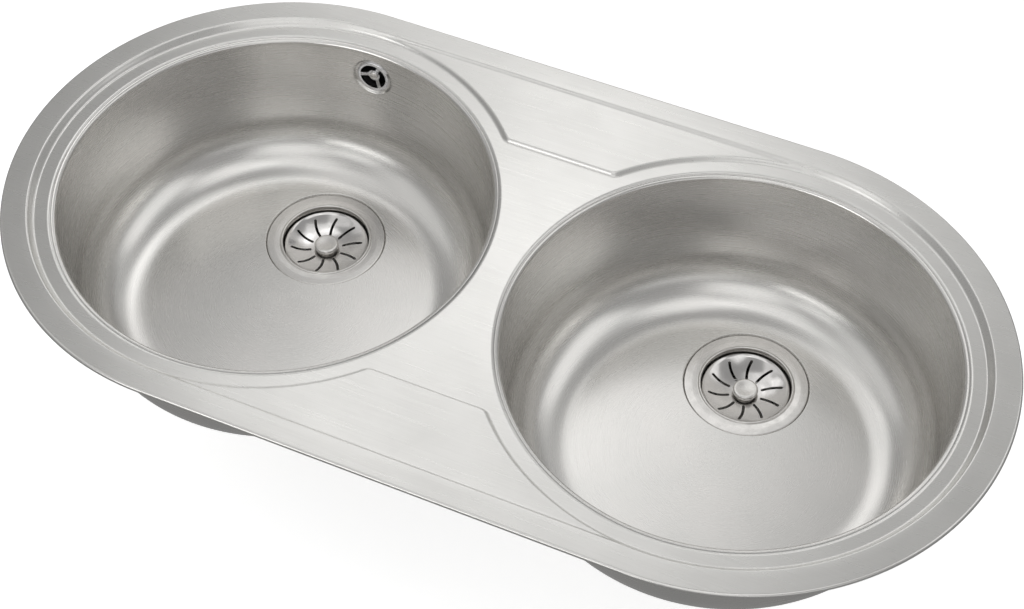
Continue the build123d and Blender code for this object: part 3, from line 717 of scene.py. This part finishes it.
def buildKnob(side):
    neck, pin = sieve["neck"], knob["pin"]
    foot = sieveHeight(neck)
    top = foot + knob["rise"]
    low, radius, corner, small = top - knob["cap"], knob["radius"], knob["round"], knob["lowRound"]
    rest, pinEnd = foot + knob["gap"], foot - knob["pinLength"]
    points = [(out, top - knob["hollow"] * share) for out, share in knob["hollowShape"]]
    points += [(radius - corner - knob["topRing"], top)]
    points += arc(radius - corner, top - corner, corner, 90, 0, 7)
    points += arc(radius - small, low + small, small, 0, -90, 3)
    points += [(neck + small + knob["lowRing"], low)]
    points += arc(neck + small, low - small, -small, -90, 0, 3)[1:]
    points += [(neck, foot + knob["footRing"]), (neck, rest), (pin, rest), (pin, pinEnd), (0, pinEnd)]
    bm = bmesh.new()
    spinProfile(bm, points, origin, count=knob["around"])
    weld(bm)
    faceTowards(bm, lambda f: f.calc_center_median().z, upright)
    bmesh.ops.translate(bm, vec=drainPlace(side), verts=bm.verts)
    node = side + "_basket_knob"
    piece = addPiece(side + "BasketKnob", bm, brightSteel, side + "_basket", [node])
    piece.data.set_sharp_from_angle(angle=radians(50))


for side in ("left", "right"):
    buildFlange(side)
    buildSieve(side)
    buildKnob(side)
print("wastes' bright parts made")


# The moulded waste bodies

wasteBody = {
    "top": -139.8, "inner": 42.0, "outer": 45.0, "flange": 53.8, "flangeSheet": 4.0, "flangeEdge": 0.6,
    "fillet": 1.2, "straightEnd": -207.2, "shoulder": (0.5, 0.8, 0.6),  # its bend: inward, above, below
    "coneEnd": -223.2, "throat": (0.6, 0.5),  # out from the outlet, up from the cone's end
    "end": -247.2, "outlet": 23.9, "bore": 20.1, "boreEdge": 0.5,
    "innerRise": 3.0,  # the cone's inside starts this far above its outside
    "hub": 7.0, "hubTop": -178.0, "hubLength": 16.0, "hubBore": 3.06, "hubAround": 48,
    "spokes": 3, "spoke": (3.0, 15.0), "spokeEdge": 0.5, "intoHub": 0.5, "intoWall": 1.0, "around": 128,
}
ribs = {
    "count": 24, "drop": 13.0, "sheet": 2.2, "inset": 2.5, "lip": 1.5, "toe": 0.6,
    "intoWall": 0.3, "intoFlange": 0.2,
}
thread = {  # G 1 1/2: a ridge whose flanks are given as shares of the pitch
    "pitch": 2.3, "depth": 1.25, "ridge": 1.2, "length": 17.0, "tooth": (0.4, 0.52, 0.92), "perTurn": 64,
    "sunk": 0.1, "start": 1.4, "chamfer": 1.0, "collar": 2.5, "undercut": 0.9,
}
inlet = {"level": -192.2, "radius": 10.5, "bore": 8.0, "end": 63.0, "edge": 0.4, "around": 64}


def windThread(bm, radius, low):  # the ridge is wound upwards, its foot just inside the wall
    pitch, perTurn, crest = thread["pitch"], thread["perTurn"], radius + thread["ridge"]
    foot, turns = radius - thread["sunk"], thread["length"] / pitch - 1
    first, second, last = [low + pitch * share for share in thread["tooth"]]
    verts = [bm.verts.new((x, 0, z)) for x, z in ((foot, low), (crest, first), (crest, second), (foot, last))]
    face = bm.faces.new(verts)
    made = bmesh.ops.spin(bm, geom=verts + face.edges[:] + [face], cent=origin, axis=upright,
                          dvec=(0, 0, pitch / perTurn), angle=2 * pi * turns, steps=round(turns * perTurn),
                          use_merge=False, use_duplicate=False)["geom_last"]
    for v in verts + vertsOf(made):  # both ends run out into the wall
        v.co.xy = v.co.xy.normalized() * foot


def wasteOutline():  # once round the body's section, as (radius, height)
    top, sheet, edge, fillet = [wasteBody[key] for key in ("top", "flangeSheet", "flangeEdge", "fillet")]
    inner, outer, straightEnd = wasteBody["inner"], wasteBody["outer"], wasteBody["straightEnd"]
    flange, outlet, coneEnd = wasteBody["flange"] - edge, wasteBody["outlet"], wasteBody["coneEnd"]
    bore, boreEdge, end = wasteBody["bore"], wasteBody["boreEdge"], wasteBody["end"]
    core, chamfer = outlet - thread["depth"], thread["chamfer"]
    collar = coneEnd - thread["collar"]
    inward, above, below = wasteBody["shoulder"]
    out, up = wasteBody["throat"]
    points = [(inner, top)] + arc(flange, top - edge, edge, 90, 0, 3)
    points += arc(flange, top - sheet + edge, edge, 0, -90, 3)
    points += [(outer + fillet, top - sheet), (outer, top - sheet - fillet)]
    points += [(outer, straightEnd + above), (outer - inward, straightEnd - below)]
    points += [(outlet + out, coneEnd + up), (outlet, coneEnd), (outlet, collar)]
    points += [(core, collar - thread["undercut"]), (core, end + chamfer), (core - chamfer, end)]
    points += [(bore + boreEdge, end), (bore, end + boreEdge)]
    return points + [(bore, coneEnd), (inner, straightEnd + wasteBody["innerRise"]), (inner, top)]


def addSpokes(bm):
    width, height = wasteBody["spoke"]
    start = wasteBody["hub"] - wasteBody["intoHub"]
    reach = wasteBody["inner"] + wasteBody["intoWall"] - start
    middle = Vector((start + reach / 2, 0, wasteBody["hubTop"] - wasteBody["hubLength"] / 2))
    for k in range(wasteBody["spokes"]):
        turn = Matrix.Rotation(2 * pi * k / wasteBody["spokes"], 4, "Z")
        place = turn @ Matrix.Translation(middle) @ Matrix.Diagonal((reach, width, height, 1))
        spoke = bmesh.ops.create_cube(bm, size=1, matrix=place)["verts"]
        edges = list({e for v in spoke for e in v.link_edges})
        bmesh.ops.bevel(bm, geom=edges, offset=wasteBody["spokeEdge"], segments=2, profile=0.5,
                        affect="EDGES", material=-1)


def addRibs(bm):  # a ring of thin ribs that holds the flange
    known = set(bm.faces)
    top = wasteBody["top"] - wasteBody["flangeSheet"] + ribs["intoFlange"]
    foot, out = wasteBody["outer"] - ribs["intoWall"], wasteBody["flange"] - ribs["inset"]
    low = top - ribs["drop"]
    corners = [(foot, top), (out, top), (out, top - ribs["lip"]), (wasteBody["outer"] + ribs["toe"], low)]
    rib = bm.faces.new([bm.verts.new((x, 0, z)) for x, z in corners + [(foot, low)]])
    raiseFaces(bm, [rib], (0, ribs["sheet"], 0))
    repeatRound(bm, withEdges([f for f in bm.faces if f not in known]), ribs["count"])


def addInlet(bm):  # the overflow's inlet, a short tube on the back of the body
    known = set(bm.verts)
    start, end, edge = wasteBody["inner"] + wasteBody["intoWall"], inlet["end"], inlet["edge"]
    bore, radius = inlet["bore"], inlet["radius"]
    points = [(bore, start), (radius, start), (radius, end - edge), (radius - edge, end)]
    spinProfile(bm, points + [(bore, end), (bore, start)], origin, count=inlet["around"])
    place = Matrix.Translation((0, 0, inlet["level"])) @ Matrix.Rotation(-pi / 2, 4, "X")
    bmesh.ops.transform(bm, matrix=place, verts=[v for v in bm.verts if v not in known])


def buildWasteBody(side):
    bm = bmesh.new()
    spinProfile(bm, wasteOutline(), origin, count=wasteBody["around"])
    hub, bore, hubTop = wasteBody["hub"], wasteBody["hubBore"], wasteBody["hubTop"]
    hubEnd = hubTop - wasteBody["hubLength"]
    points = [(bore, hubTop), (hub, hubTop), (hub, hubEnd), (bore, hubEnd), (bore, hubTop)]
    spinProfile(bm, points, origin, count=wasteBody["hubAround"])
    weld(bm)
    addSpokes(bm)
    addRibs(bm)
    windThread(bm, wasteBody["outlet"] - thread["depth"], wasteBody["end"] + thread["start"])
    if side == "left":
        addInlet(bm)
        weld(bm)
    bmesh.ops.recalc_face_normals(bm, faces=bm.faces)
    bmesh.ops.translate(bm, vec=drainPlace(side), verts=bm.verts)
    piece = addPiece(side + "WasteBody", bm, polypropylene, "sink", [side + "_waste_body"])
    piece.data.set_sharp_from_angle(angle=radians(35))


for side in ("left", "right"):
    buildWasteBody(side)
print("waste bodies moulded")


# The overflow's cover

cover = {
    "radius": 15.2, "face": -0.4, "back": -1.6, "bevel": 0.7, "bevelRing": 0.05, "sheet": 1.2,
    "flat": 13.4, "ring": 11.6, "ringBend": ((12.7, 0.02), (11.6, 0.14)),  # radius, and its fall there
    "eye": 5.2, "floor": -3.0, "hole": 2.3, "dishSteps": 7, "dishEnds": (0.4, 0.6), "eyeBend": (0.6, 0.05),
    "backBends": (0.8, 1.2), "around": 96,
}
openings = {
    "arms": 3, "armWidth": 3.4, "armStart": radians(62.0), "pastEye": 0.2, "pastRing": 0.5,
    "low": -8.0, "height": 12.0, "corner": 0.9, "around": 60,
}


def overflowFrame():  # the overflow's own frame: x along the sink, y up the wall, z square into the bowl
    middle, inward, upward = dimpleAxis()
    turn = Matrix((Vector((1, 0, 0)), upward, inward)).transposed().to_4x4()
    return Matrix.Translation(middle + Vector((centreOf["left"], 0, 0))) @ turn


def coverCutter():
    # a flat ring parted by three straight arms; what is left is the openings' shape
    bm = bmesh.new()
    low, half = openings["low"], openings["armWidth"] / 2
    inner, outer = cover["eye"] + openings["pastEye"], cover["ring"] + openings["pastRing"]
    spinProfile(bm, [(inner, low), (outer, low)], origin, count=openings["around"])
    for k in range(openings["arms"]):
        turn = openings["armStart"] + 2 * pi * k / openings["arms"]
        along, aside = Vector((cos(turn), sin(turn), 0)), Vector((-sin(turn), cos(turn), 0))
        for sign in (1, -1):
            near = [f for f in bm.faces if f.calc_center_median().dot(along) > 0]
            cutAt(bm, withEdges(near), aside * half * sign, aside)
        gone = [f for f in bm.faces if f.calc_center_median().dot(along) > 0
                and abs(f.calc_center_median().dot(aside)) < half]
        bmesh.ops.delete(bm, geom=gone, context="FACES")
    raiseFaces(bm, bm.faces[:], (0, 0, openings["height"]))
    roundCorners(bm, openings["corner"], 3)
    return bm


def buildCover():
    rim, bevel, face, back, sheet = [cover[key] for key in ("radius", "bevel", "face", "back", "sheet")]
    ring, eye, floor, hole = [cover[key] for key in ("ring", "eye", "floor", "hole")]
    start, end = cover["dishEnds"]
    out, up = cover["eyeBend"]
    eyeBack, ringBack = cover["backBends"]
    points = [(rim, back), (rim, face - bevel - cover["bevelRing"])]
    points += arc(rim - bevel, face - bevel, bevel, 0, 90, 5)
    points += [(cover["flat"], face)] + [(radius, face - fall) for radius, fall in cover["ringBend"]]
    points += [(radius, floor + (face - floor) * (radius - eye) / (ring - eye))
               for radius in steps(ring - start, eye + end, cover["dishSteps"])]
    points += [(eye, floor + up), (eye - out, floor), (hole, floor), (hole, floor - sheet)]
    points += [(eye + eyeBack, floor - sheet), (ring + ringBack, back), (rim, back)]
    bm = bmesh.new()
    spinProfile(bm, points, origin, count=cover["around"])
    weld(bm)
    faceTowards(bm, faceAt((cover["flat"] + rim - bevel) / 2, rise=1), upright)
    place = overflowFrame()
    bmesh.ops.transform(bm, matrix=place, verts=bm.verts)
    piece = addPiece("overflowCover", bm, chrome, "sink", ["overflow_cover"])
    cutter = coverCutter()
    bmesh.ops.transform(cutter, matrix=place, verts=cutter.verts)
    cutWith(piece, cutter)


buildCover()
print("overflow's cover made")

for node in frame["nodes"]:
    if not frame["nodes"][node].hide_render:
        soften(node)
print("small parts softened")


# Floor, light and camera

studio = {
    "floor": "#ffffff", "floorLevel": -0.2482, "floorSize": 30.0, "floorGlow": 0.55,
    "skyHigh": 0.385, "skyLow": 0.285, "horizon": 0.1,
}
softboxes = {  # azimuth from the back towards the right, elevation, metres away, size, watts
    "nearBack": (-26, 51, 1.3, (0.35, 0.35), 0.28), "nearLeft": (-49, 56, 1.3, (0.3, 0.3), 0.27),
    "backRight": (-12, 50, 2.0, (0.5, 0.7), 0.77), "backDown": (-26, 36, 2.2, (0.9, 0.5), 0.55),
    "backTop": (-26, 68, 2.0, (0.9, 0.5), 0.94), "backWide": (-16, 42, 2.6, (1.5, 1.1), 1.05),
    "backSide": (20, 42, 2.6, (1.5, 1.1), 1.0), "backLow": (-30, 22, 2.4, (0.8, 0.4), 0.44),
    "lowBack": (-10, 14, 3.0, (3.6, 0.9), 8.5), "lowFront": (200, 14, 3.0, (1.9, 0.9), 14.1),
    "lowRight": (140, 14, 3.0, (3.2, 0.9), 5.7),
    "right": (64, 42, 2.6, (2.2, 1.1), 6.3), "left": (254, 42, 2.6, (2.2, 1.1), 3.1),
    "front": (164, 42, 2.6, (1.5, 1.1), 4.2), "frontLeft": (205, 37, 2.2, (0.8, 0.5), 1.2),
    "highRight": (112, 68, 2.6, (1.3, 1.1), 3.6), "highFront": (184, 68, 2.6, (1.3, 1.1), 3.1),
    "highLeft": (256, 68, 2.6, (1.3, 1.1), 2.0),
}
sight = {
    "place": (0.42562, -0.94068, 1.25112), "target": (0.027455, -0.031652, 0.003),
    "lens": 72.57, "sensor": 36, "roll": radians(0.145), "sees": (0.01, 100),  # metres from the lens
}


def layFloor():
    # Matt white board, glowing a little by itself so that its white stays even under the sink
    bm = bmesh.new()
    bmesh.ops.create_grid(bm, x_segments=2, y_segments=2, size=studio["floorSize"] / 2)
    bmesh.ops.translate(bm, vec=(0, 0, studio["floorLevel"]), verts=bm.verts)
    mesh = bpy.data.meshes.new("paleFloor")
    bm.to_mesh(mesh)
    bm.free()
    floor = bpy.data.objects.new("paleFloor", mesh)
    bpy.context.scene.collection.objects.link(floor)
    material, _, shader = startMaterial("paleFloorPaint", Roughness=0.9)
    for socket in ("Base Color", "Emission Color"):
        shader.inputs[socket].default_value = paint(studio["floor"])
    shader.inputs["Emission Strength"].default_value = studio["floorGlow"]
    mesh.materials.append(material)
    floor.visible_glossy = False


def lightWorld():  # the air is brighter above the horizon than below it
    world = bpy.data.worlds.new("studioAir")
    bpy.context.scene.world = world
    world.use_nodes = True
    tree = world.node_tree
    direction = addNode(tree, "TexCoord").outputs["Generated"]
    height = addNode(tree, "SeparateXYZ", links={"Vector": direction}).outputs["Z"]
    blend = studio["horizon"]
    strength = rescale(tree, height, studio["skyLow"], studio["skyHigh"], -blend, blend)
    tree.links.new(strength, tree.nodes["Background"].inputs["Strength"])
    tree.nodes["Background"].inputs["Color"].default_value = (1, 1, 1, 1)


def hangSoftbox(name):
    azimuth, elevation, distance, size, power = softboxes[name]
    light = bpy.data.lights.new(name, "AREA")
    light.shape = "RECTANGLE"
    light.size, light.size_y = size
    light.energy = power
    lamp = bpy.data.objects.new(name, light)
    bpy.context.scene.collection.objects.link(lamp)
    turn, up = radians(azimuth), radians(elevation)
    away = Vector((sin(turn) * cos(up), cos(turn) * cos(up), sin(up)))
    lamp.location = away * distance
    lamp.rotation_mode = "QUATERNION"
    lamp.rotation_quaternion = (-away).to_track_quat("-Z", "Y")
    lamp.visible_camera = False


def setCamera():
    lens = bpy.data.cameras.new("camera")
    lens.lens = sight["lens"]
    lens.sensor_fit = "HORIZONTAL"
    lens.sensor_width = sight["sensor"]
    lens.clip_start, lens.clip_end = sight["sees"]
    camera = bpy.data.objects.new("camera", lens)
    bpy.context.scene.collection.objects.link(camera)
    camera.location = sight["place"]
    toward = Vector(sight["target"]) - Vector(sight["place"])
    turn = toward.to_track_quat("-Z", "Y").to_matrix().to_4x4()
    camera.rotation_mode = "QUATERNION"
    camera.rotation_quaternion = (turn @ Matrix.Rotation(sight["roll"], 4, "Z")).to_quaternion()
    bpy.context.scene.camera = camera


layFloor()
lightWorld()
for name in softboxes:
    hangSoftbox(name)
setCamera()
bpy.context.scene.view_settings.view_transform = "Standard"
print("studio ready")
